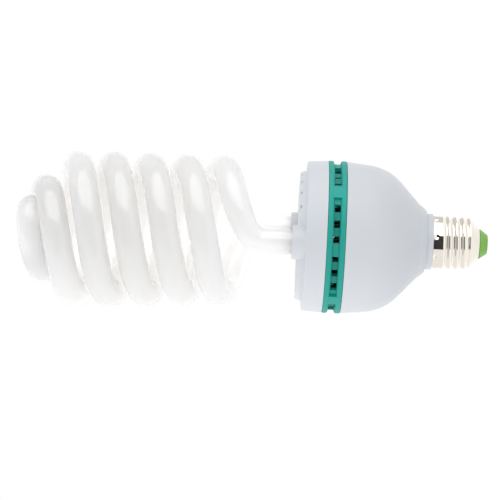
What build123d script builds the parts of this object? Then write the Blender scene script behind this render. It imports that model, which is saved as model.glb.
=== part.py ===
from build123d import *
from math import cos, exp, hypot, pi, radians, sin, tan
import os

# A self ballasted spiral fluorescent lamp with a screw cap, in millimetres.
# The lamp's axis is Z, the origin is the middle of the cap's end contact and
# the spiral points along +Z. The angle -90 degrees faces the photograph's viewer.

os.makedirs("parts", exist_ok=True)


def save(builder, label):
    """Label a finished piece and write it under the same name."""
    builder.part.label = label
    export_step(builder.part, f"parts/{label}.step")


def on_circle(radius, angle, height=0.0):
    """Point at a radius, an angle in degrees and a height."""
    return Vector(radius * cos(radians(angle)), radius * sin(radians(angle)), height)


def radial_plane(angle):
    """Sketch plane whose X runs outwards at an angle and whose Y is the lamp's axis."""
    return Plane(origin=(0, 0, 0), x_dir=on_circle(1, angle), z_dir=on_circle(1, angle - 90))


# Clearances between pieces
seat_gap = 0.05
slip_gap = 0.2
stand_off = 0.3

# Screw cap
thread_radius = 13.15
thread_depth = 1.0
thread_pitch = 3.63
thread_turns = 4
first_crest_z = 9.1
shell_wall = 0.4
shell_foot_z = 4.5
shell_foot_radius = 7.7
shell_cone_z = 6.1
shell_cone_radius = 9.0
shell_shoulder_z = 8.1
shell_shoulder_radius = 11.4
skirt_radius = 12.9
skirt_top_z = 27.9
insulator_foot_radius = 4.9
insulator_rim_radius = 7.5
insulator_top_radius = 9.6
insulator_top_z = 8.2
contact_radius = 4.2
contact_thickness = 0.4
eyelet_radius = 1.7
eyelet_bore_radius = 1.0
eyelet_length = 6.0

# Rear housing
housing_wall = 1.8
spigot_length = 5.0
spigot_wall = 1.4
neck_radius = 13.8
collar_foot_z = 31.2
collar_foot_radius = 15.4
collar_top_z = 33.2
collar_top_radius = 17.2
flare_foot_z = 34.7
flare_foot_radius = 18.25
bell_corner_z = 50.6
bell_corner_radius = 35.34
bell_round = 25.2
bell_mouth_z = 71.8
bell_mouth_radius = 37.65

# Vent ring
ring_proud = 0.15
ring_height = 9.2
ring_wall = 3.6
ring_rim_height = 2.9
ring_rim_round = 0.9
ring_channel_depth = 1.7
ring_lip_depth = 2.8
ring_lip_wall = 2.9
panel_angle = -100.4
panel_half_angle = 5.3
side_panel_half_angle = 9.6
vent_end_angle = 35.9
vent_height = 3.0
pillar_angle = 45.7
pillar_width_angle = 10.0
pillar_drop = 0.1
vent_rib_depth = 2.4
vent_rib_width = 4.1
vent_rib_angle = 8.7

# Front cover
cover_height = 10.1
cover_draft = 0.65
cover_wall = 1.8
cover_round = 0.7
disc_height = 3.2
disc_margin = 4.3
disc_bevel = 1.4
cover_lip_depth = 1.6
cover_lip_wall = 1.6
socket_radius = 8.3
socket_edge = 0.1
socket_height = 6.4
socket_depth = 4.8
socket_round = 0.5
slot_count = 5
slot_step_angle = 15.0
slot_start_angle = -64.0
slot_edge = 0.8
slot_length = 4.4
slot_width = 1.9
slot_depth = 1.0

# Glass tube
tube_diameter = 14.0
leg_diameter = 12.0
leg_angle = -97.2
leg_foot_z = 85.3
coil_radius_top = 33.3
coil_taper = 1.05
coil_pitch = 36.65
coil_datum_z = 132.4
coil_start_angle = -40.0
coil_steps = 34
head_angle = 1094.0
head_top_z = 226.9
head_share = 0.468
head_cross_angle = 90.0
head_open_angle = 322.0
head_dip = 2.0
head_dip_angle = 60.0
head_flatness = 2.8
coil_lean_angle = 1.1
coil_drift_angle = 1.16
lean_pivot_z = 151.3
bend_end_z = 111.6
bend_coil_handle = 20.0
bend_leg_handle = 6.6
bend_steps = 8
bend_sections = 12
leg_sections = 6
cement_wall = 0.6

# Circuit board and what it carries
board_clearance = 2.3
board_thickness = 1.6
board_bottom_z = 65.3
rib_count = 4
rib_width = 1.6
rib_height = 8.0
rib_reach = 2.2
lead_diameter = 0.7
lead_tip_length = 1.2
lead_bend = 0.8
solder_radius = 1.0
solder_height = 0.7
can_radius = 8.0
can_length = 30.0
can_x = 3.0
can_lead_pitch = 7.5
can_bung_radius = 6.6
can_bung_depth = 0.8
can_groove_z = 3.6
can_groove_radius = 0.9
can_round = 0.8
choke_x = -15.5
core_width = 25.0
core_depth = 7.5
core_height = 20.0
core_leg = 3.0
core_yoke = 3.2
core_centre_leg = 7.0
core_air_gap = 0.3
bobbin_wall = 0.9
flange_depth = 17.2
pin_reach = 7.4
pin_pitch = 5.0
winding_build = 3.0
toroid_x = 20.0
toroid_radius = 6.3
toroid_bore_radius = 3.2
toroid_height = 5.0
toroid_round = 0.4
toroid_windings = 3
toroid_turns = 4
toroid_turn_angle = 20.0
package_width = 10.0
package_depth = 4.5
package_height = 14.5
package_x = 16.0
package_y = 12.0
package_round = 0.5
package_lead_length = 2.5
package_lead_pitch = 2.54
package_lead_inset = 1.8
sink_width = 12.0
sink_wall = 1.5
sink_height = 16.0
film_width = 18.0
film_depth = 7.0
film_height = 13.0
film_y = 21.8
film_shift = 1.0
film_round = 0.5
film_lead_inset = 1.5
small_film_width = 13.0
small_film_depth = 5.0
small_film_height = 10.0
small_film_x = -1.0
small_film_y = 13.2
disc_radius = 3.4
disc_thickness = 2.6
disc_edge = 4.8
disc_lead_pitch = 5.0
diode_radius = 1.35
diode_length = 5.2
diode_span = 9.0
diode_x = -13.5
diode_y = -14.6
diode_step = 3.0
resistor_radius = 1.15
resistor_length = 6.2
resistor_span = 9.0
resistor_edge = 3.6
resistor_side_x = 26.0
resistor_side_y = 10.5
fuse_radius = 2.0
fuse_length = 9.0
fuse_span = 12.0
fuse_edge = 5.8
drum_radius = 4.8
drum_waist_radius = 2.4
drum_height = 11.0
drum_flange = 1.6
drum_lead_reach = 3.4
drum_x = -15.0
drum_y = 18.6
supply_x = -4.5
supply_y = 8.3
supply_wire_diameter = 1.4
supply_mid_x = -2.0
supply_mid_y = 3.0
supply_side_mid_x = -9.0
supply_clearance = 0.5
supply_end_drop = 3.9
supply_bend_z = 37.3
supply_bend = 2.5
post_radius = 0.55
post_height = 7.4
post_circle_radius = 20.0
post_spread_angle = 11.0
post_collar_radius = 1.2
post_collar_height = 0.8
lamp_wire_diameter = 0.6
lamp_wire_spread = 2.4
lamp_wire_drop = 3.0
lamp_wire_bend = 1.5
wrap_turns = 3
wrap_pitch = 0.55

# Sizes that follow
ring_radius = bell_mouth_radius + ring_proud
cover_foot_radius = bell_mouth_radius
cover_shoulder_radius = cover_foot_radius - cover_draft
disc_foot_radius = cover_shoulder_radius - disc_margin
disc_top_radius = disc_foot_radius - disc_bevel
leg_circle_radius = cover_shoulder_radius - socket_edge - socket_radius
shell_thread_top_z = first_crest_z + thread_pitch * (thread_turns - 0.5)
insulator_foot_z = contact_thickness
ring_foot_z = bell_mouth_z
ring_top_z = ring_foot_z + ring_height
shoulder_z = ring_top_z + cover_height
disc_top_z = shoulder_z + disc_height
board_top_z = board_bottom_z + board_thickness
vent_middle_z = ring_foot_z + ring_height / 2
ring_inner_radius = ring_radius - ring_wall


# Screw shell: rolled shoulder, rounded thread and a plain skirt, in thin sheet
def thread_wave(inset):
    """Points of the shell's outline from its foot to the last root, moved in by the wall."""
    wave = [(shell_foot_radius - inset, shell_foot_z), (shell_cone_radius - inset, shell_cone_z)]
    wave.append((shell_shoulder_radius - inset, shell_shoulder_z))
    for half_turn in range(2 * thread_turns):
        depth = thread_depth * (half_turn % 2)
        wave.append((thread_radius - depth - inset, first_crest_z + thread_pitch * half_turn / 2))
    return wave


with BuildPart() as screw_shell:
    for inset, mode in ((0, Mode.ADD), (shell_wall, Mode.SUBTRACT)):
        with BuildSketch(Plane.XZ):
            with BuildLine():
                thread = Spline(*thread_wave(inset), tangents=((1, 1), (0, 1)))
                skirt_foot = (skirt_radius - inset, (thread @ 1).Y + thread_pitch / 4)
                rise = Spline(thread @ 1, skirt_foot, tangents=((0, 1), (0, 1)))
                skirt_head = (skirt_radius - inset, skirt_top_z)
                Polyline(rise @ 1, skirt_head, (0, skirt_top_z), (0, shell_foot_z), thread @ 0)
            make_face()
        revolve(axis=Axis.Z, mode=mode)
save(screw_shell, "screw_shell")

# Cap insulator: pressed cone with a neck that the shell's foot sits on
with BuildPart() as cap_insulator:
    foot_bore = eyelet_radius + seat_gap
    neck = shell_foot_radius - shell_wall - slip_gap
    cone_inside = shell_cone_radius - shell_wall - slip_gap - slip_gap
    with BuildSketch(Plane.XZ):
        with BuildLine():
            Polyline(
                (foot_bore, insulator_foot_z),
                (insulator_foot_radius, insulator_foot_z),
                (insulator_rim_radius, shell_foot_z - slip_gap - stand_off),
                (insulator_rim_radius, shell_foot_z - slip_gap),
                (neck, shell_foot_z - slip_gap),
                (neck, shell_foot_z + stand_off),
                (cone_inside, shell_cone_z),
                (insulator_top_radius, insulator_top_z),
                (foot_bore, insulator_top_z),
                close=True,
            )
        make_face()
    revolve(axis=Axis.Z)
save(cap_insulator, "cap_insulator")

# End contact: flat disc with the eyelet that the supply wire goes into
with BuildPart() as end_contact:
    with BuildSketch():
        Circle(contact_radius)
    extrude(amount=contact_thickness)
    fillet(end_contact.faces().sort_by(Axis.Z)[0].edges(), contact_thickness / 2)
    with BuildSketch(Plane.XY.offset(contact_thickness)):
        Circle(eyelet_radius)
        Circle(eyelet_bore_radius, mode=Mode.SUBTRACT)
    extrude(amount=eyelet_length)
save(end_contact, "end_contact")

# Rear housing: spigot inside the cap's skirt, neck, collar and a wide bell
spigot_radius = skirt_radius - shell_wall - seat_gap
spigot_foot_z = skirt_top_z - spigot_length
spigot_bore_radius = spigot_radius - spigot_wall
bell_draft = (bell_mouth_radius - bell_corner_radius) / (bell_mouth_z - bell_corner_z)
flare_angle_run = bell_corner_radius - flare_foot_radius
flare_angle_rise = bell_corner_z - flare_foot_z
flare_share = housing_wall / hypot(flare_angle_run, flare_angle_rise)
inner_flare_radius = flare_foot_radius - flare_share * flare_angle_rise
inner_flare_z = flare_foot_z + flare_share * flare_angle_run
flare_slope = flare_angle_run / flare_angle_rise
inner_neck_z = inner_flare_z - (inner_flare_radius - spigot_bore_radius) / flare_slope
inner_mouth_radius = bell_mouth_radius - housing_wall * hypot(1, bell_draft)
inner_corner_rise = (
    inner_mouth_radius - bell_draft * (bell_mouth_z - inner_neck_z) - spigot_bore_radius
) / (flare_slope - bell_draft)
inner_corner_z = inner_neck_z + inner_corner_rise
inner_corner_radius = spigot_bore_radius + flare_slope * inner_corner_rise


def inner_bell_radius(height):
    """Radius of the bell's inside between its corner and its mouth."""
    return inner_mouth_radius - bell_draft * (bell_mouth_z - height)


board_radius = inner_bell_radius(board_bottom_z) - board_clearance
with BuildPart() as cavity:
    with BuildSketch(Plane.XZ):
        with BuildLine():
            wall_line = FilletPolyline(
                (spigot_bore_radius, inner_neck_z),
                (inner_corner_radius, inner_corner_z),
                (inner_mouth_radius, bell_mouth_z),
                radius=bell_round - housing_wall,
            )
            Polyline(
                wall_line @ 1,
                (0, bell_mouth_z),
                (0, spigot_foot_z),
                (spigot_bore_radius, spigot_foot_z),
                wall_line @ 0,
            )
        make_face()
    revolve(axis=Axis.Z)
    # the ribs that carry the board are left standing in the cavity
    with BuildSketch(Plane.XY.offset(board_bottom_z)):
        with PolarLocations((board_radius - rib_reach + bell_mouth_radius) / 2, rib_count, 45):
            Rectangle(bell_mouth_radius - board_radius + rib_reach, rib_width)
    extrude(amount=-rib_height, mode=Mode.SUBTRACT)

with BuildPart() as rear_housing:
    with BuildSketch(Plane.XZ):
        with BuildLine():
            Polyline(
                (0, bell_mouth_z),
                (0, spigot_foot_z),
                (spigot_radius, spigot_foot_z),
                (spigot_radius, skirt_top_z),
                (neck_radius, skirt_top_z),
                (neck_radius, collar_foot_z),
                (collar_foot_radius, collar_foot_z),
                (collar_top_radius, collar_top_z),
                (flare_foot_radius, flare_foot_z),
            )
            bell_line = FilletPolyline(
                (flare_foot_radius, flare_foot_z),
                (bell_corner_radius, bell_corner_z),
                (bell_mouth_radius, bell_mouth_z),
                radius=bell_round,
            )
            Line(bell_line @ 1, (0, bell_mouth_z))
        make_face()
    revolve(axis=Axis.Z)
    add(cavity.part, mode=Mode.SUBTRACT)
save(rear_housing, "rear_housing")

# Vent ring: two rounded rims, a channel with long openings, pillars and inner ribs
lip_radius = inner_bell_radius(ring_foot_z - ring_lip_depth) - slip_gap
lip_bore_radius = lip_radius - ring_lip_wall
channel_radius = ring_radius - ring_channel_depth
vent_spans = []
for panel in (panel_angle, panel_angle + 180):
    vent_spans.append((panel + panel_half_angle, panel + vent_end_angle))
    vent_spans.append((panel - vent_end_angle, panel - panel_half_angle))
    vent_spans.append((panel + 90 + side_panel_half_angle, panel + 90 + vent_end_angle))
    vent_spans.append((panel + 90 - vent_end_angle, panel + 90 - side_panel_half_angle))
pillar_middles = [panel_angle + turn + side for turn in (0, 180) for side in (pillar_angle, -pillar_angle)]

with BuildPart() as vent_ring:
    with BuildSketch(Plane.XZ):
        with Locations(((ring_radius + ring_inner_radius) / 2, vent_middle_z)):
            Rectangle(ring_wall, ring_height)
        with Locations((ring_radius - ring_channel_depth / 2, vent_middle_z)):
            Rectangle(ring_channel_depth, ring_height - 2 * ring_rim_height, mode=Mode.SUBTRACT)
    revolve(axis=Axis.Z)
    rim_edges = vent_ring.edges().filter_by(GeomType.CIRCLE).group_by(SortBy.RADIUS)[-1]
    fillet(rim_edges, ring_rim_round)
    with BuildSketch(Plane.XY.offset(ring_foot_z - ring_lip_depth)):
        Circle(lip_radius)
        Circle(lip_bore_radius, mode=Mode.SUBTRACT)
    extrude(amount=ring_lip_depth)
    with BuildSketch(Plane.XY.offset(ring_foot_z)):
        Circle(ring_inner_radius + seat_gap)
        Circle(lip_bore_radius, mode=Mode.SUBTRACT)
    extrude(amount=ring_rim_height / 3)
    for middle in pillar_middles:
        with BuildSketch(radial_plane(middle - pillar_width_angle / 2)):
            with Locations((ring_radius - pillar_drop - ring_channel_depth / 2, vent_middle_z)):
                Rectangle(ring_channel_depth, ring_height - ring_rim_height)
        revolve(axis=Axis.Z, revolution_arc=pillar_width_angle)
    for start, end in vent_spans:
        with BuildSketch(radial_plane(start)):
            with Locations((channel_radius, vent_middle_z)):
                Rectangle(2 * ring_wall, vent_height)
        revolve(axis=Axis.Z, revolution_arc=end - start, mode=Mode.SUBTRACT)
    rib_top_z = ring_top_z - cover_lip_depth - stand_off
    rib_foot_z = ring_foot_z + ring_rim_height / 4
    for start, end in vent_spans:
        for angle in (start + vent_rib_angle, end - vent_rib_angle):
            with BuildSketch(radial_plane(angle)):
                with Locations((ring_inner_radius - vent_rib_depth / 2, (rib_top_z + rib_foot_z) / 2)):
                    Rectangle(vent_rib_depth + seat_gap, rib_top_z - rib_foot_z)
            extrude(amount=vent_rib_width / 2, both=True)
save(vent_ring, "vent_ring")

# Front cover: shallow cup with a raised disc, two leg sockets, moulded recesses and a lip
leg_feet = [on_circle(leg_circle_radius, leg_angle + turn) for turn in (0, 180)]
socket_bore_radius = leg_diameter / 2 + cement_wall
socket_foot_z = shoulder_z - socket_depth
cover_lip_radius = ring_inner_radius - slip_gap
cover_lip_foot_z = ring_top_z - cover_lip_depth
cover_inner_foot = cover_foot_radius - cover_wall
with BuildPart() as front_cover:
    with BuildSketch(Plane.XZ):
        with BuildLine():
            Polyline(
                (0, disc_top_z),
                (disc_top_radius, disc_top_z),
                (disc_foot_radius, shoulder_z),
                (cover_shoulder_radius, shoulder_z),
                (cover_foot_radius, ring_top_z),
                (cover_lip_radius, ring_top_z),
                (cover_lip_radius, cover_lip_foot_z),
                (cover_lip_radius - cover_lip_wall, cover_lip_foot_z),
                (cover_lip_radius - cover_lip_wall, ring_top_z + cover_wall),
                (cover_inner_foot, ring_top_z + cover_wall),
                (cover_shoulder_radius - cover_wall, shoulder_z - cover_wall),
                (disc_foot_radius - cover_wall, shoulder_z - cover_wall),
                (disc_top_radius - cover_wall, disc_top_z - cover_wall),
                (0, disc_top_z - cover_wall),
                close=True,
            )
        make_face()
    revolve(axis=Axis.Z)
    fillet(front_cover.edges().filter_by(GeomType.CIRCLE).group_by(SortBy.RADIUS)[-2], cover_round)
    fillet(front_cover.edges().filter_by(GeomType.CIRCLE).group_by(Axis.Z)[-1], cover_round / 2)
    with BuildSketch(Plane.XY.offset(socket_foot_z)):
        with Locations(*leg_feet):
            Circle(socket_radius)
    extrude(amount=socket_depth + socket_height)
    socket_rims = front_cover.faces().sort_by(Axis.Z)[-2:].edges()
    fillet(socket_rims, socket_round)
    with BuildSketch(Plane.XY.offset(socket_foot_z)):
        with Locations(*leg_feet):
            Circle(socket_bore_radius)
    extrude(amount=socket_depth + socket_height, mode=Mode.SUBTRACT)
    slot_middle = disc_foot_radius - slot_edge - slot_length / 2
    with BuildSketch(Plane.XY.offset(disc_top_z)):
        for turn in (0, 180):
            slot_span = slot_step_angle * slot_count
            with PolarLocations(slot_middle, slot_count, slot_start_angle + turn, slot_span):
                SlotOverall(slot_length, slot_width)
    extrude(amount=-slot_depth, mode=Mode.SUBTRACT)
save(front_cover, "front_cover")

# Cement that holds the two legs in their sockets
with BuildPart() as tube_cement:
    with BuildSketch(Plane.XY.offset(socket_foot_z + stand_off)):
        with Locations(*leg_feet):
            Circle(socket_bore_radius - seat_gap)
            Circle(leg_diameter / 2 + seat_gap, mode=Mode.SUBTRACT)
    extrude(amount=socket_depth + socket_height - socket_round - stand_off)
save(tube_cement, "tube_cement")

# Glass tube: a double coil whose arms run together across the head
lean_pivot = Vector(0, 0, lean_pivot_z)
lean_axis = Axis((0, 0, 0), (0, -1, 0))


def coil_radius(angle):
    """Radius of the centreline, which opens from the middle of the head into the coil."""
    unwound = head_angle - angle
    opened = min(max((unwound - head_cross_angle) / head_open_angle, 0), 1)
    share = head_share + (1 - head_share) * opened**2 * (3 - 2 * opened)
    share *= sin(radians(min(unwound, head_cross_angle)))
    return (coil_radius_top - coil_taper * unwound / 360) * share


def coil_height(angle):
    """Height of the centreline, which levels off over the head and dips in its middle."""
    fall = coil_pitch * (head_angle - angle) / 360
    level = coil_datum_z + coil_pitch * head_angle / 360 - head_top_z
    rounded = (fall**head_flatness + level**head_flatness) ** (1 / head_flatness)
    dip = head_dip * exp(-(((head_angle - angle) / head_dip_angle) ** 2))
    return head_top_z + level - rounded - dip


def leaned(point, amount=1.0):
    """The coil leans and drifts a little to one side above its legs."""
    arm = point - lean_pivot
    drift = Vector(tan(radians(coil_drift_angle)) * arm.Z * amount, 0, 0)
    return arm.rotate(lean_axis, coil_lean_angle * amount) - drift + lean_pivot


def coil_points(turn):
    """Points up one arm to the middle of the head, closer together towards the head."""
    span = head_angle - coil_start_angle
    points = []
    for step in range(coil_steps + 1):
        angle = head_angle - span * (1 - step / coil_steps) ** 1.25
        points.append(leaned(on_circle(coil_radius(angle), angle + turn, coil_height(angle))))
    return points


start_radius = coil_radius(coil_start_angle)
start_height = coil_height(coil_start_angle)
bend_reach = radians(coil_start_angle - leg_angle) * (start_radius + leg_circle_radius) / 2
start_slope = coil_pitch / (2 * pi * start_radius)
handle_reach = bend_coil_handle / hypot(1, start_slope)
handle_drop = start_slope * handle_reach


def bend_points(turn):
    """Points from the coil down to the leg, a curve drawn flat and wrapped round the coil."""
    points = []
    for step in range(1, bend_steps + 1):
        t = step / bend_steps
        near = 3 * (1 - t) ** 2 * t
        far = 3 * (1 - t) * t**2
        reach = near * handle_reach + (far + t**3) * bend_reach
        height = (1 - t) ** 3 * start_height + near * (start_height - handle_drop)
        height += far * (bend_end_z + bend_leg_handle) + t**3 * bend_end_z
        share = reach / bend_reach
        angle = coil_start_angle + (leg_angle - coil_start_angle) * share + turn
        radius = start_radius + (leg_circle_radius - start_radius) * share**2 * (3 - 2 * share)
        points.append(leaned(on_circle(radius, angle, height), (1 - t) ** 2))
    return points


with BuildPart() as spiral_tube:
    with BuildLine():
        coil_curve = Spline(*coil_points(0), *coil_points(180)[-2::-1])
    with BuildSketch(Plane(origin=coil_curve @ 0, z_dir=coil_curve % 0)):
        Circle(tube_diameter / 2)
    sweep(path=coil_curve)
    arms = ((0, coil_curve @ 0, coil_curve % 0 * -1), (180, coil_curve @ 1, coil_curve % 1))
    for turn, coil_end, heading in arms:
        leg_top = bend_points(turn)[-1]
        leg_drop = Vector(0, 0, leg_foot_z - leg_top.Z)
        with BuildLine():
            bend_curve = Spline(coil_end, *bend_points(turn), tangents=(heading, (0, 0, -1)))
        for step in range(bend_sections + 1):
            t = step / bend_sections
            width = leg_diameter + (tube_diameter - leg_diameter) * (1 - t) ** 2 * (1 + 2 * t)
            with BuildSketch(Plane(origin=bend_curve @ t, z_dir=bend_curve % t)):
                Circle(width / 2)
        for step in range(1, leg_sections + 1):
            leg_level = leg_top + leg_drop * step / leg_sections
            with BuildSketch(Plane(origin=leg_level, z_dir=(0, 0, -1))):
                Circle(leg_diameter / 2)
        loft()
save(spiral_tube, "spiral_tube")

# Circuit board: the parts hang from its underside and their leads are soldered on top
standing = (Align.CENTER, Align.CENTER, Align.MIN)
hanging = (Align.CENTER, Align.CENTER, Align.MAX)
seat_z = board_bottom_z - stand_off
lead_tip_z = board_top_z + lead_tip_length
lead_radius = lead_diameter / 2


def hang(points, height=seat_z):
    """The same points at the height from which a part hangs."""
    return [(x, y, height) for x, y in points]


# Storage capacitor: rolled can with its bung and two leads
can_leads = [(can_x, side * can_lead_pitch / 2) for side in (-1, 1)]
with BuildPart() as storage_capacitor:
    with Locations(*hang([(can_x, 0)])):
        Cylinder(can_radius, can_length, align=hanging)
        Cylinder(can_bung_radius, can_bung_depth, align=hanging, mode=Mode.SUBTRACT)
    with Locations(*hang([(can_x, 0)], seat_z - can_groove_z)):
        Torus(can_radius + can_groove_radius / 2, can_groove_radius, mode=Mode.SUBTRACT)
    fillet(storage_capacitor.faces().sort_by(Axis.Z)[0].edges(), can_round)
    with Locations(*hang(can_leads, lead_tip_z)):
        Cylinder(lead_radius, lead_tip_z - seat_z + can_bung_depth, align=hanging)
save(storage_capacitor, "storage_capacitor")

# Choke: two E halves of ferrite round a bobbin, with a small gap between them
core_top_z = seat_z
window_height = core_height - 2 * core_yoke
window_top_z = core_top_z - core_yoke
core_middle_z = core_top_z - core_height / 2
with BuildPart() as choke_core:
    with Locations((choke_x, 0, core_middle_z)):
        Box(core_depth, core_width, core_height)
        for side in (-1, 1):
            with Locations((0, side * (core_width + core_centre_leg - 2 * core_leg) / 4, 0)):
                window_width = (core_width - core_centre_leg) / 2 - core_leg
                Box(2 * core_depth, window_width, window_height, mode=Mode.SUBTRACT)
        Box(2 * core_depth, 2 * core_width, core_air_gap, mode=Mode.SUBTRACT)
save(choke_core, "choke_core")

hub_width = core_centre_leg + 2 * (seat_gap + bobbin_wall)
hub_depth = core_depth + 2 * (seat_gap + bobbin_wall)
flange_height = window_height - 2 * seat_gap
flange_width = core_width - 2 * core_leg - 2 * slip_gap
choke_pins = [(choke_x + side * pin_reach, row) for side in (-1, 1) for row in (-pin_pitch, 0, pin_pitch)]
with BuildPart() as choke_bobbin:
    with Locations((choke_x, 0, core_middle_z)):
        Box(hub_depth, hub_width, flange_height)
        for side in (-1, 1):
            with Locations((0, 0, side * (flange_height - bobbin_wall) / 2)):
                Box(flange_depth, flange_width, bobbin_wall)
        Box(core_depth + 2 * seat_gap, core_centre_leg + 2 * seat_gap, core_height, mode=Mode.SUBTRACT)
    for side in (-1, 1):
        foot_width = flange_depth / 2 - core_depth / 2 - slip_gap
        with Locations((choke_x + side * (flange_depth - foot_width) / 2, 0, seat_z)):
            Box(foot_width, flange_width, core_yoke + bobbin_wall, align=hanging)
    with Locations(*hang(choke_pins, lead_tip_z)):
        Cylinder(lead_radius, lead_tip_z - seat_z + stand_off, align=hanging)
save(choke_bobbin, "choke_bobbin")

with BuildPart() as choke_winding:
    winding_height = flange_height - 2 * bobbin_wall - 2 * slip_gap
    with BuildSketch(Plane.XY.offset(core_middle_z - winding_height / 2)):
        with Locations((choke_x, 0)):
            RectangleRounded(hub_depth + 2 * winding_build, hub_width + 2 * winding_build, winding_build)
            Rectangle(hub_depth + 2 * seat_gap, hub_width + 2 * seat_gap, mode=Mode.SUBTRACT)
    extrude(amount=winding_height)
save(choke_winding, "choke_winding")

# Drive transformer: a small ferrite ring with three short windings
toroid_top_z = seat_z - lead_diameter - seat_gap
toroid_middle_z = toroid_top_z - toroid_height / 2
with BuildPart() as drive_core:
    with BuildSketch(Plane.XY.offset(toroid_top_z)):
        with Locations((toroid_x, 0)):
            Circle(toroid_radius)
            Circle(toroid_bore_radius, mode=Mode.SUBTRACT)
    extrude(amount=-toroid_height)
    fillet(drive_core.edges().filter_by(GeomType.CIRCLE), toroid_round)
save(drive_core, "drive_core")

loop_gap = seat_gap + lead_radius
loop_outer = toroid_radius + loop_gap
loop_inner = toroid_bore_radius - loop_gap
loop_rise = toroid_height / 2 + loop_gap
turn_angles = []
toroid_leads = []
for winding in range(toroid_windings):
    first_turn = winding * 360 / toroid_windings + toroid_turn_angle
    turn_angles += [first_turn + toroid_turn_angle * k for k in range(toroid_turns)]
    for lead_angle in (turn_angles[-toroid_turns], turn_angles[-1]):
        lead_point = on_circle(loop_outer, lead_angle)
        toroid_leads.append((toroid_x + lead_point.X, lead_point.Y))
with BuildPart() as drive_windings:
    for angle in turn_angles:
        loop_middle = (toroid_x, 0, toroid_middle_z)
        across = on_circle(1, angle - 90)
        with BuildLine(Plane(origin=loop_middle, x_dir=on_circle(1, angle), z_dir=across)):
            loop_line = FilletPolyline(
                (loop_outer, loop_rise),
                (loop_inner, loop_rise),
                (loop_inner, -loop_rise),
                (loop_outer, -loop_rise),
                radius=toroid_round + loop_gap,
                close=True,
            )
        with BuildSketch(Plane(origin=loop_line @ 0, z_dir=loop_line % 0)):
            Circle(lead_radius)
        sweep()
    with Locations(*hang(toroid_leads, lead_tip_z)):
        Cylinder(lead_radius, lead_tip_z - toroid_middle_z, align=hanging)
save(drive_windings, "drive_windings")

# Two switching transistors, each against its heat sink
package_top_z = seat_z - package_lead_length
package_leads = []
with BuildPart() as switching_transistors:
    for side in (-1, 1):
        with Locations((package_x, side * (package_y + package_depth / 2), package_top_z)):
            Box(package_width, package_depth, package_height, align=hanging)
        lead_y = side * (package_y + package_lead_inset)
        package_leads += [(package_x + k * package_lead_pitch, lead_y) for k in (-1, 0, 1)]
    chamfer(switching_transistors.faces().sort_by(Axis.Z)[:2].edges(), package_round)
    with Locations(*hang(package_leads, lead_tip_z)):
        Cylinder(lead_radius, lead_tip_z - package_top_z + seat_gap, align=hanging)
save(switching_transistors, "switching_transistors")

with BuildPart() as heat_sinks:
    for side in (-1, 1):
        with Locations((package_x, side * (package_y + package_depth + seat_gap + sink_wall / 2), seat_z)):
            Box(sink_width, sink_wall, sink_height, align=hanging)
save(heat_sinks, "heat_sinks")

# Four film capacitors: boxes with rounded edges and two leads each
film_leads = []
with BuildPart() as film_capacitors:
    for side in (-1, 1):
        for width, depth, height, x, y in (
            (film_width, film_depth, film_height, -film_shift * side, film_y),
            (small_film_width, small_film_depth, small_film_height, small_film_x, small_film_y),
        ):
            with Locations((x, side * y, seat_z)):
                Box(width, depth, height, align=hanging)
            film_leads += [(x + end * (width / 2 - film_lead_inset), side * y) for end in (-1, 1)]
    fillet(film_capacitors.edges(), film_round)
    with Locations(*hang(film_leads, lead_tip_z)):
        Cylinder(lead_radius, lead_tip_z - seat_z + stand_off, align=hanging)
save(film_capacitors, "film_capacitors")

# Two starting capacitors: dipped discs
disc_leads = []
disc_y = board_radius - disc_edge
with BuildPart() as starting_capacitors:
    for side in (-1, 1):
        with Locations(Location((0, side * disc_y, seat_z - disc_radius), (90, 0, 0))):
            Cylinder(disc_radius, disc_thickness)
        disc_leads += [(end * disc_lead_pitch / 2, side * disc_y) for end in (-1, 1)]
    fillet(starting_capacitors.edges().filter_by(GeomType.CIRCLE), disc_thickness / 3)
    with Locations(*hang(disc_leads, lead_tip_z)):
        Cylinder(lead_radius, lead_tip_z - seat_z + disc_radius, align=hanging)
save(starting_capacitors, "starting_capacitors")

# Parts with a lead at each end: rectifier diodes, resistors and the fuse
diode_middles = [(diode_x, diode_y - diode_step * k) for k in range(4)]
resistor_middles = [(board_radius - resistor_edge, 0)]
resistor_middles += [(resistor_side_x, side * resistor_side_y) for side in (-1, 1)]
fuse_middles = [(fuse_edge - board_radius, 0)]
axial_leads = []
for label, middles, radius, length, span, direction in (
    ("rectifier_diodes", diode_middles, diode_radius, diode_length, diode_span, Vector(1, 0, 0)),
    ("resistors", resistor_middles, resistor_radius, resistor_length, resistor_span, Vector(0, 1, 0)),
    ("fuse", fuse_middles, fuse_radius, fuse_length, fuse_span, Vector(0, 1, 0)),
):
    with BuildPart() as axial:
        for x, y in middles:
            middle = Vector(x, y, seat_z - radius)
            with BuildSketch(Plane(origin=middle, z_dir=direction)):
                Circle(radius)
            extrude(amount=length / 2, both=True)
        fillet(axial.edges().filter_by(GeomType.CIRCLE), radius / 4)
        for x, y in middles:
            middle = Vector(x, y, seat_z - radius)
            reach = direction * span / 2
            rise = Vector(0, 0, lead_tip_z - middle.Z)
            with BuildLine():
                lead_line = FilletPolyline(
                    middle - reach + rise, middle - reach, middle + reach, middle + reach + rise, radius=lead_bend
                )
            with BuildSketch(Plane(origin=lead_line @ 0, z_dir=lead_line % 0)):
                Circle(lead_radius)
            sweep()
            axial_leads += [((middle + reach).X, (middle + reach).Y), ((middle - reach).X, (middle - reach).Y)]
    save(axial, label)

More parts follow.
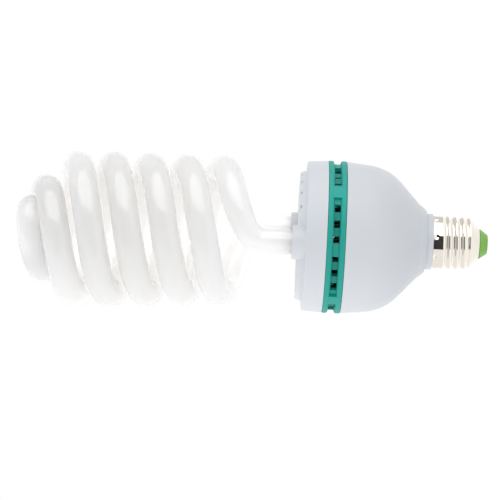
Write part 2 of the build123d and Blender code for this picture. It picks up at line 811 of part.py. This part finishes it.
# Mains filter: a ferrite drum with its winding
drum_leads = [(drum_x + side * drum_lead_reach, drum_y) for side in (-1, 1)]
with BuildPart() as filter_core:
    with Locations((drum_x, drum_y, seat_z)):
        Cylinder(drum_radius, drum_height, align=hanging)
    with BuildSketch(Plane.XY.offset(seat_z - drum_flange)):
        with Locations((drum_x, drum_y)):
            Circle(drum_radius + seat_gap)
            Circle(drum_waist_radius, mode=Mode.SUBTRACT)
    extrude(amount=2 * drum_flange - drum_height, mode=Mode.SUBTRACT)
    with Locations(*hang(drum_leads, lead_tip_z)):
        Cylinder(lead_radius, lead_tip_z - seat_z + stand_off, align=hanging)
save(filter_core, "filter_core")

with BuildPart() as filter_winding:
    with BuildSketch(Plane.XY.offset(seat_z - drum_flange - seat_gap)):
        with Locations((drum_x, drum_y)):
            Circle(drum_radius - stand_off)
            Circle(drum_waist_radius + seat_gap, mode=Mode.SUBTRACT)
    extrude(amount=2 * (drum_flange + seat_gap) - drum_height)
save(filter_winding, "filter_winding")

# Supply wires: one down to the end contact, one soldered to the shell
supply_starts = [(supply_x, side * supply_y) for side in (-1, 1)]
shell_touch_x = thread_radius - thread_depth - shell_wall - seat_gap - supply_wire_diameter / 2
supply_side_x = supply_wire_diameter / 2 + supply_clearance - spigot_bore_radius
supply_ends = (
    (
        (supply_mid_x, -supply_mid_y, collar_foot_z),
        (0, 0, spigot_foot_z),
        (0, 0, contact_thickness + stand_off),
    ),
    (
        (supply_side_mid_x, supply_mid_y, collar_foot_z),
        (supply_side_x, 0, spigot_foot_z),
        (-shell_touch_x, 0, spigot_foot_z - supply_end_drop),
    ),
)
with BuildPart() as supply_wires:
    for (x, y), way in zip(supply_starts, supply_ends):
        with BuildLine():
            supply_line = FilletPolyline((x, y, seat_z), (x, y, supply_bend_z), *way, radius=supply_bend)
        with BuildSketch(Plane(origin=supply_line @ 0, z_dir=supply_line % 0)):
            Circle(supply_wire_diameter / 2)
        sweep()
    with Locations(*hang(supply_starts, lead_tip_z)):
        Cylinder(lead_radius, lead_tip_z - seat_z + stand_off, align=hanging)
save(supply_wires, "supply_wires")

# Posts on which the tube's wires are wound
post_angles = [leg_angle + turn + side for turn in (0, 180) for side in (-post_spread_angle, post_spread_angle)]
post_points = [on_circle(post_circle_radius, angle) for angle in post_angles]
with BuildPart() as wire_posts:
    with Locations(*[point + (0, 0, board_bottom_z) for point in post_points]):
        Cylinder(post_radius, board_thickness + post_height, align=standing)
    with Locations(*[point + (0, 0, board_top_z) for point in post_points]):
        Cylinder(post_collar_radius, post_collar_height, align=standing)
save(wire_posts, "wire_posts")

# Lamp wires: out of the legs' feet and round the posts
wrap_radius = post_radius + seat_gap + lamp_wire_diameter / 2
wrap_top_z = board_top_z + post_height - lamp_wire_diameter
with BuildPart() as lamp_wires:
    for turn in (0, 180):
        foot = on_circle(leg_circle_radius, leg_angle + turn, leg_foot_z - seat_gap)
        sideways = on_circle(1, leg_angle + turn + 90)
        for side in (-1, 1):
            start = foot + sideways * side * lamp_wire_spread
            post = on_circle(post_circle_radius, leg_angle + turn + side * post_spread_angle, wrap_top_z)
            finish = post - on_circle(wrap_radius, leg_angle + turn + side * post_spread_angle) * -1
            with BuildLine():
                lamp_line = FilletPolyline(start, start - (0, 0, lamp_wire_drop), finish, radius=lamp_wire_bend)
            with BuildSketch(Plane(origin=lamp_line @ 0, z_dir=lamp_line % 0)):
                Circle(lamp_wire_diameter / 2)
            sweep()
            with Locations(*[post - (0, 0, wrap_pitch * k) for k in range(wrap_turns)]):
                Torus(wrap_radius, lamp_wire_diameter / 2)
save(lamp_wires, "lamp_wires")

# The board last, with a hole for every lead, and the solder on its upper side
lead_points = can_leads + choke_pins + toroid_leads + package_leads + film_leads
lead_points += disc_leads + axial_leads + drum_leads + supply_starts
with BuildPart() as circuit_board:
    with BuildSketch(Plane.XY.offset(board_bottom_z)):
        Circle(board_radius)
        with Locations(*lead_points):
            Circle(lead_radius + seat_gap, mode=Mode.SUBTRACT)
        with Locations(*post_points):
            Circle(post_radius + seat_gap, mode=Mode.SUBTRACT)
    extrude(amount=board_thickness)
save(circuit_board, "circuit_board")

with BuildPart() as solder_joints:
    with Locations(*hang(lead_points, board_top_z)):
        Cone(solder_radius, lead_diameter, solder_height, align=standing)
        Cylinder(lead_radius + seat_gap, solder_height, align=standing, mode=Mode.SUBTRACT)
save(solder_joints, "solder_joints")
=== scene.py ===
import bpy
import math
from mathutils import Matrix, Vector


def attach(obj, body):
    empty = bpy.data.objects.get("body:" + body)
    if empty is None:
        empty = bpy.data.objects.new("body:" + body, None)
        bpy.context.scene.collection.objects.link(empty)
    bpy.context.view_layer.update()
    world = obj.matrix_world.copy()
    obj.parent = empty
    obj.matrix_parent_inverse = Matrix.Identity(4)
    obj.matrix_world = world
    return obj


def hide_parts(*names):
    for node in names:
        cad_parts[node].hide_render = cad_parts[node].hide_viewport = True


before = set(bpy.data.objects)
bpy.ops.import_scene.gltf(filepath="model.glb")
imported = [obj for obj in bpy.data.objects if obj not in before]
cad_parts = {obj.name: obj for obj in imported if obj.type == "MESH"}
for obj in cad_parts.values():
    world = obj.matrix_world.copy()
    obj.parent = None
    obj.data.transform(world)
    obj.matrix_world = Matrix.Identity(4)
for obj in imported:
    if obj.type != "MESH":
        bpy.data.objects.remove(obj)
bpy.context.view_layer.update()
MM = 0.001

# ---------------------------------------------------------------- camera
# The lamp's axis is Z. The photograph looks along +Y with the spiral to the left,
# so the camera lies on its side, rolled a little more than a quarter turn.
PICTURE_PIXELS = 500
SENSOR_WIDTH = 36.0
CAMERA_DISTANCE = 1145 * MM
PIXELS_PER_MM = 2.013
AIM_X, AIM_Z = -8.4 * MM, 117.7 * MM
ROLL = math.radians(2.757)
NEAREST, FARTHEST = 0.05, 20

camera_data = bpy.data.cameras.new("camera")
camera_data.sensor_width = SENSOR_WIDTH
camera_data.lens = PIXELS_PER_MM * CAMERA_DISTANCE / MM * SENSOR_WIDTH / PICTURE_PIXELS
camera_data.clip_start = NEAREST
camera_data.clip_end = FARTHEST
camera = bpy.data.objects.new("camera", camera_data)
bpy.context.scene.collection.objects.link(camera)
picture_right = Vector((math.sin(ROLL), 0, -math.cos(ROLL)))
picture_up = Vector((math.cos(ROLL), 0, math.sin(ROLL)))
towards_viewer = Vector((0, -1, 0))
turn = Matrix((picture_right, picture_up, towards_viewer)).transposed().to_4x4()
camera.matrix_world = Matrix.Translation((AIM_X, -CAMERA_DISTANCE, AIM_Z)) @ turn
bpy.context.scene.camera = camera
bpy.context.scene.view_settings.view_transform = "Standard"


# ---------------------------------------------------------------- node tools
class Value:
    """A socket that adds Math nodes when it is used in an expression."""

    def __init__(self, finish, socket):
        self.finish = finish
        self.socket = socket

    def output(self, name):
        """Another output of the node that this value comes from, by name or number."""
        return Value(self.finish, self.socket.node.outputs[name])

    def _math(self, operation, *values):
        return self.finish.node("ShaderNodeMath", {"operation": operation}, dict(enumerate(values)))

    def __add__(self, other):
        return self._math("ADD", self, other)

    def __radd__(self, other):
        return self._math("ADD", other, self)

    def __sub__(self, other):
        return self._math("SUBTRACT", self, other)

    def __rsub__(self, other):
        return self._math("SUBTRACT", other, self)

    def __mul__(self, other):
        return self._math("MULTIPLY", self, other)

    def __truediv__(self, other):
        return self._math("DIVIDE", self, other)

    def __pow__(self, other):
        return self._math("POWER", self, other)

    def highest(self, other):
        return self._math("MAXIMUM", self, other)

    def angle_to(self, other):
        """Angle in degrees whose sine side is this value and whose cosine side is the other."""
        return self._math("ARCTAN2", self, other) * (180 / math.pi)

    def above(self, edge, width):
        """0 below the edge, 1 above it, with a soft step of that width."""
        settings = {"interpolation_type": "SMOOTHSTEP"}
        values = {0: self, 1: edge - width / 2, 2: edge + width / 2, 3: 0.0, 4: 1.0}
        return self.finish.node("ShaderNodeMapRange", settings, values)

    def between(self, low, high, width):
        """1 between two edges, 0 outside, with soft steps of that width."""
        return self.above(low, width) * (1 - self.above(high, width))


class Surroundings:
    """A node tree, wired node by node. On its own it is the world's."""

    def __init__(self, tree):
        self.tree = tree

    def node(self, kind, settings=None, values=None):
        """Any node: its settings first, then the values or links of its sockets."""
        made = self.tree.nodes.new(kind)
        for name, value in (settings or {}).items():
            setattr(made, name, value)
        for socket, value in (values or {}).items():
            self.feed(made.inputs[socket], value)
        return Value(self, made.outputs[0])

    def feed(self, socket, value):
        if isinstance(value, Value):
            self.tree.links.new(value.socket, socket)
        else:
            socket.default_value = value

    def rays(self, *kinds):
        """1 for rays of these kinds, 0 for the others."""
        path = self.node("ShaderNodeLightPath")
        share, *others = (path.output(f"Is {kind} Ray") for kind in kinds)
        for other in others:
            share = share.highest(other)
        return share


class Finish(Surroundings):
    """A material, with colours as linear red, green and blue."""

    def __init__(self, name, colour, roughness, metallic=0.0):
        self.material = bpy.data.materials.new(name)
        self.material.use_nodes = True
        self.material.diffuse_color = (*colour, 1)
        super().__init__(self.material.node_tree)
        self.surface = self.tree.nodes["Principled BSDF"]
        self.set("Base Color", (*colour, 1))
        self.set("Roughness", roughness)
        self.set("Metallic", metallic)

    def set(self, socket, value):
        self.feed(self.surface.inputs[socket], value)

    def noise(self, per_mm, detail=3.0, roughness=0.55, stretch=None):
        """Noise between 0 and 1 with features of about 1 / per_mm millimetres."""
        place = self.node("ShaderNodeTexCoord").output("Object")
        if stretch:
            place = self.node("ShaderNodeMapping", values={"Vector": place, "Scale": stretch})
        values = {"Vector": place, "Scale": per_mm / MM, "Detail": detail, "Roughness": roughness}
        return self.node("ShaderNodeTexNoise", values=values)

    def paint(self, share, first, second):
        """Base colour that goes from the first colour to the second by a share."""
        values = {0: share, 6: (*first, 1), 7: (*second, 1)}
        mixer = self.node("ShaderNodeMix", {"data_type": "RGBA"}, values)
        self.set("Base Color", mixer.output(2))

    def bump(self, height, depth_mm, strength):
        values = {"Height": height, "Strength": strength, "Distance": depth_mm * MM}
        self.set("Normal", self.node("ShaderNodeBump", values=values))


# ---------------------------------------------------------------- finishes
def opal_glass():
    """White powder seen through clear glass: a soft white body under a hard gloss."""
    finish = Finish("opal_glass", (0.95, 0.94, 0.93), roughness=0.03)
    powder = finish.noise(per_mm=0.05, detail=2.0)
    finish.paint(powder, (0.975, 0.95, 0.925), (0.99, 0.965, 0.94))
    finish.set("Subsurface Weight", 1.0)
    finish.set("Subsurface Radius", (1.0, 0.96, 0.92))
    finish.set("Subsurface Scale", 85 * MM)
    drawn_wave = finish.noise(per_mm=0.03, detail=1.0)
    finish.bump(drawn_wave, depth_mm=0.02, strength=0.1)
    return finish.material


def moulded_plastic(name, shade, tint, roughness):
    """Satin moulded plastic: faint flow marks, fine grain and small scuffs."""
    finish = Finish(name, shade, roughness)
    flow = finish.noise(per_mm=0.03, stretch=(1, 1, 0.4))
    finish.paint(flow, shade, tint)
    scuff = finish.noise(per_mm=0.6, detail=4.0, roughness=0.7)
    finish.set("Roughness", scuff * 0.12 + (roughness - 0.06))
    grain = finish.noise(per_mm=4.0, detail=2.0)
    finish.bump(grain, depth_mm=0.02, strength=0.35)
    return finish.material


def plated_steel():
    """Bright nickel plate with a slightly warm tone, fine drawing lines and tarnish."""
    finish = Finish("plated_steel", (0.75, 0.72, 0.67), roughness=0.12, metallic=1.0)
    tarnish = finish.noise(per_mm=0.12, detail=4.0, roughness=0.6)
    finish.paint(tarnish, (0.86, 0.81, 0.74), (0.77, 0.72, 0.65))
    lines = finish.noise(per_mm=1.0, stretch=(0.15, 0.15, 6.0))
    finish.set("Roughness", lines * 0.06 + 0.03)
    finish.bump(lines, depth_mm=0.005, strength=0.2)
    return finish.material


def plain_rough(name, shade, tint, roughness, per_mm, depth_mm):
    """A matt surface with a grain of its own size and depth."""
    finish = Finish(name, shade, roughness)
    grain = finish.noise(per_mm, detail=4.0, roughness=0.6)
    finish.paint(grain, shade, tint)
    finish.set("Roughness", grain * 0.2 + (roughness - 0.1))
    finish.bump(grain, depth_mm, strength=0.6)
    return finish.material


def plain_metal(name, shade, tint, roughness):
    """Bare metal, dulled in spots."""
    finish = Finish(name, shade, roughness, metallic=1.0)
    grain = finish.noise(per_mm=1.5)
    finish.paint(grain, shade, tint)
    finish.set("Roughness", grain * 0.2 + (roughness - 0.1))
    return finish.material


white = moulded_plastic("white_plastic", (0.66, 0.69, 0.73), (0.70, 0.73, 0.77), 0.5)
green = moulded_plastic("green_plastic", (0.002, 0.34, 0.28), (0.003, 0.38, 0.32), 0.55)
apple = moulded_plastic("light_green_plastic", (0.21, 0.51, 0.07), (0.25, 0.56, 0.10), 0.3)
black = moulded_plastic("black_plastic", (0.012, 0.012, 0.013), (0.02, 0.02, 0.021), 0.45)
case = moulded_plastic("film_case", (0.30, 0.03, 0.02), (0.36, 0.04, 0.025), 0.35)
steel = plated_steel()
opal = opal_glass()
cement = plain_rough("cement", (0.70, 0.70, 0.68), (0.55, 0.55, 0.53), 0.8, 1.5, 0.2)
board = plain_rough("board", (0.25, 0.17, 0.07), (0.18, 0.12, 0.05), 0.6, 2.0, 0.03)
ferrite = plain_rough("ferrite", (0.03, 0.03, 0.033), (0.05, 0.05, 0.055), 0.6, 3.0, 0.03)
copper = plain_metal("copper", (0.60, 0.22, 0.09), (0.42, 0.14, 0.05), 0.3)
tinned = plain_metal("tinned_wire", (0.70, 0.70, 0.68), (0.5, 0.5, 0.5), 0.3)
aluminium = plain_metal("aluminium", (0.75, 0.76, 0.77), (0.6, 0.61, 0.62), 0.35)

NODE_FINISH = {
    "spiral_tube": opal,
    "tube_cement": cement,
    "front_cover": white,
    "vent_ring": green,
    "rear_housing": white,
    "screw_shell": steel,
    "cap_insulator": apple,
    "end_contact": steel,
    "circuit_board": board,
    "solder_joints": tinned,
    "storage_capacitor": black,
    "choke_core": ferrite,
    "choke_bobbin": black,
    "choke_winding": copper,
    "drive_core": ferrite,
    "drive_windings": copper,
    "switching_transistors": black,
    "heat_sinks": aluminium,
    "film_capacitors": case,
    "starting_capacitors": case,
    "rectifier_diodes": black,
    "resistors": board,
    "fuse": case,
    "filter_core": ferrite,
    "filter_winding": copper,
    "wire_posts": tinned,
    "lamp_wires": tinned,
    "supply_wires": white,
}
for name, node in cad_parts.items():
    node.data.materials.clear()
    node.data.materials.append(NODE_FINISH[name])


# ---------------------------------------------------------------- screw cap shell
# Rolled sheet: foot, cone and shoulder, a right-handed round thread that fades out at
# both ends, and a plain skirt that is staked to the neck by eight punch marks.
# Sizes are in millimetres and angles in degrees.
AROUND = 192
SHELL_WALL = 0.4
CREST_RADIUS, ROOT_RADIUS, PITCH = 13.15, 12.15, 3.63
CREST_AT = 9.65                                        # height of the crest at +X
THREAD_IN, THREAD_OUT = (8.3, 10.2), (21.2, 22.9)      # where the thread grows and fades
SHELL_FOOT = (4.5, 7.7)                                # height, radius
SHELL_LINE = (                                         # height, radius, rows up to it
    (*SHELL_FOOT, 0),
    (6.1, 9.0, 5),
    (8.1, 11.4, 7),
    (9.4, 12.2, 6),
    (22.7, 12.9, 74),
    (27.9, 12.9, 18),
)
PUNCH_Z, PUNCH_DEPTH, PUNCH_RADIUS = 26.3, 0.45, 0.85
PUNCHES, FIRST_PUNCH = 8, -34.5
ROUNDING = 0.001


def smooth_step(value, low, high):
    share = min(max((value - low) / (high - low), 0), 1)
    return share * share * (3 - 2 * share)


def shell_radius(height, azimuth):
    """Radius of the shell's outside at a height and azimuth."""
    for (low_z, low_radius, _), (high_z, high_radius, _) in zip(SHELL_LINE, SHELL_LINE[1:]):
        if height <= high_z + ROUNDING:
            break
    plain_radius = low_radius + (high_radius - low_radius) * (height - low_z) / (high_z - low_z)
    turns = (height - CREST_AT) / PITCH - azimuth / 360
    middle, half_depth = (CREST_RADIUS + ROOT_RADIUS) / 2, (CREST_RADIUS - ROOT_RADIUS) / 2
    thread = middle + half_depth * math.cos(2 * math.pi * turns)
    share = smooth_step(height, *THREAD_IN) * (1 - smooth_step(height, *THREAD_OUT))
    spacing = 360 / PUNCHES
    off = (azimuth - FIRST_PUNCH + spacing / 2) % spacing - spacing / 2
    away = math.hypot(height - PUNCH_Z, math.radians(off) * plain_radius) / PUNCH_RADIUS
    return plain_radius + (thread - plain_radius) * share - PUNCH_DEPTH * math.exp(-away ** 4)


bpy.ops.object.select_all(action="DESELECT")
foot_z, foot_radius = (size * MM for size in SHELL_FOOT)
bpy.ops.mesh.primitive_circle_add(vertices=AROUND, radius=foot_radius, location=(0, 0, foot_z))
shell = bpy.context.object
shell.name = "threaded_shell"
bpy.ops.object.mode_set(mode="EDIT")
for (low_z, _, _), (high_z, _, rows) in zip(SHELL_LINE, SHELL_LINE[1:]):
    for row in range(rows):
        rise = (0, 0, (high_z - low_z) / rows * MM)
        bpy.ops.mesh.extrude_region_move(TRANSFORM_OT_translate={"value": rise})
bpy.ops.object.mode_set(mode="OBJECT")
bpy.ops.object.transform_apply(location=True)
# The operators can't fade a thread, so each point takes its radius from the function
for vertex in shell.data.vertices:
    azimuth = math.atan2(vertex.co.y, vertex.co.x)
    radius = MM * shell_radius(vertex.co.z / MM, math.degrees(azimuth))
    vertex.co.xy = radius * math.cos(azimuth), radius * math.sin(azimuth)
bpy.ops.object.mode_set(mode="EDIT")
bpy.ops.mesh.select_all(action="SELECT")
bpy.ops.mesh.normals_make_consistent(inside=False)
bpy.ops.object.mode_set(mode="OBJECT")
sheet = shell.modifiers.new("sheet", "SOLIDIFY")
sheet.thickness = SHELL_WALL * MM
sheet.offset = -1
bpy.ops.object.modifier_apply(modifier="sheet")
bpy.ops.object.shade_smooth()
shell.data.materials.append(steel)
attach(shell, "root")
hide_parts("screw_shell")


# ---------------------------------------------------------------- studio
# The world is white where it is seen directly. It lights the lamp a little more from
# behind and from below in the picture, and less along the lamp's axis.
WORLD_LEVEL, BACK_SHARE, TOP_SHARE, END_SHARE = 1.27, 0.3, 0.12, 0.3
# Reflections show an oval softbox above and dark walls around a doorway in front. Angles
# are in degrees, round the lamp's axis from the front over the top, and along the axis.
SOFTBOX_LEVEL = 3.3
SOFTBOX_OVER, SOFTBOX_HALF_OVER, SOFTBOX_HALF_ALONG, SOFTBOX_EDGE = 61, 33, 47, 0.05
CEILING_OVER, CEILING_DARK = (97, 150, 4), 0.25
FOOT_ALONG, FOOT_DARK = (-70, 6), 0.7
SIDE_OVER, SIDE_ALONG, SIDE_DARK = (-46, 98, 3), (60, 6), 0.9
DOORWAY_OVER, DOORWAY_ALONG, DOORWAY_DARK = (-33, 31, 3), (-62, 52, 4), 0.96

world = bpy.data.worlds.new("studio")
bpy.context.scene.world = world
world.use_nodes = True
around = Surroundings(world.node_tree)
background = world.node_tree.nodes["Background"]
background.inputs["Color"].default_value = (1, 1, 1, 1)
heading = around.node("ShaderNodeSeparateXYZ", values={0: around.node("ShaderNodeTexCoord")})
upward, to_back, to_spiral = heading, heading.output(1), heading.output(2)

over = upward.angle_to(to_back * -1)
along = to_spiral.angle_to((upward * upward + to_back * to_back) ** 0.5)
along_size = along.highest(along * -1)
over_share = (over - SOFTBOX_OVER) / SOFTBOX_HALF_OVER
from_softbox = over_share ** 2 + (along / SOFTBOX_HALF_ALONG) ** 2
softbox = 1 - from_softbox.above(1, SOFTBOX_EDGE)
ceiling = over.between(*CEILING_OVER)
foot = 1 - along.above(*FOOT_ALONG)
side = over.between(*SIDE_OVER) * along_size.above(*SIDE_ALONG)
doorway = over.between(*DOORWAY_OVER) * along.between(*DOORWAY_ALONG)
walls = (1 - ceiling * CEILING_DARK) * (1 - foot * FOOT_DARK)
walls = walls * (1 - doorway * DOORWAY_DARK) * (1 - side * SIDE_DARK)
mirrored = softbox * SOFTBOX_LEVEL + (1 - softbox) * walls
lit = WORLD_LEVEL + to_back * BACK_SHARE - upward * TOP_SHARE - to_spiral * to_spiral * END_SHARE
seen = around.rays("Camera", "Transmission")
glossy = around.rays("Glossy")
level = seen + (1 - seen) * (glossy * mirrored + (1 - glossy) * lit)
around.feed(background.inputs["Strength"], level)

FLOOR_Z, FLOOR_RADIUS = -4 * MM, 260 * MM
PAPER, PAPER_SHADE, PAPER_GLOW = 0.75, 0.35, 0.8

bpy.ops.object.select_all(action="DESELECT")
bpy.ops.mesh.primitive_circle_add(
    vertices=96, radius=FLOOR_RADIUS, fill_type="NGON", location=(0, 0, FLOOR_Z)
)
floor = bpy.context.object
floor.name = "floor"
paper = Finish("floor_paper", (PAPER, PAPER, PAPER), roughness=0.9)
shaded = paper.node("ShaderNodeBsdfDiffuse", values={"Color": (PAPER_SHADE,) * 3 + (1,)})
glow = paper.node("ShaderNodeEmission", values={"Color": (PAPER_GLOW,) * 3 + (1,)})
shown = paper.node("ShaderNodeAddShader", values={0: shaded, 1: glow})
body = Value(paper, paper.surface.outputs[0])
seen = paper.rays("Camera", "Glossy", "Transmission")
both = paper.node("ShaderNodeMixShader", values={0: seen, 1: body, 2: shown})
paper.feed(paper.tree.nodes["Material Output"].inputs["Surface"], both)
floor.data.materials.append(paper.material)
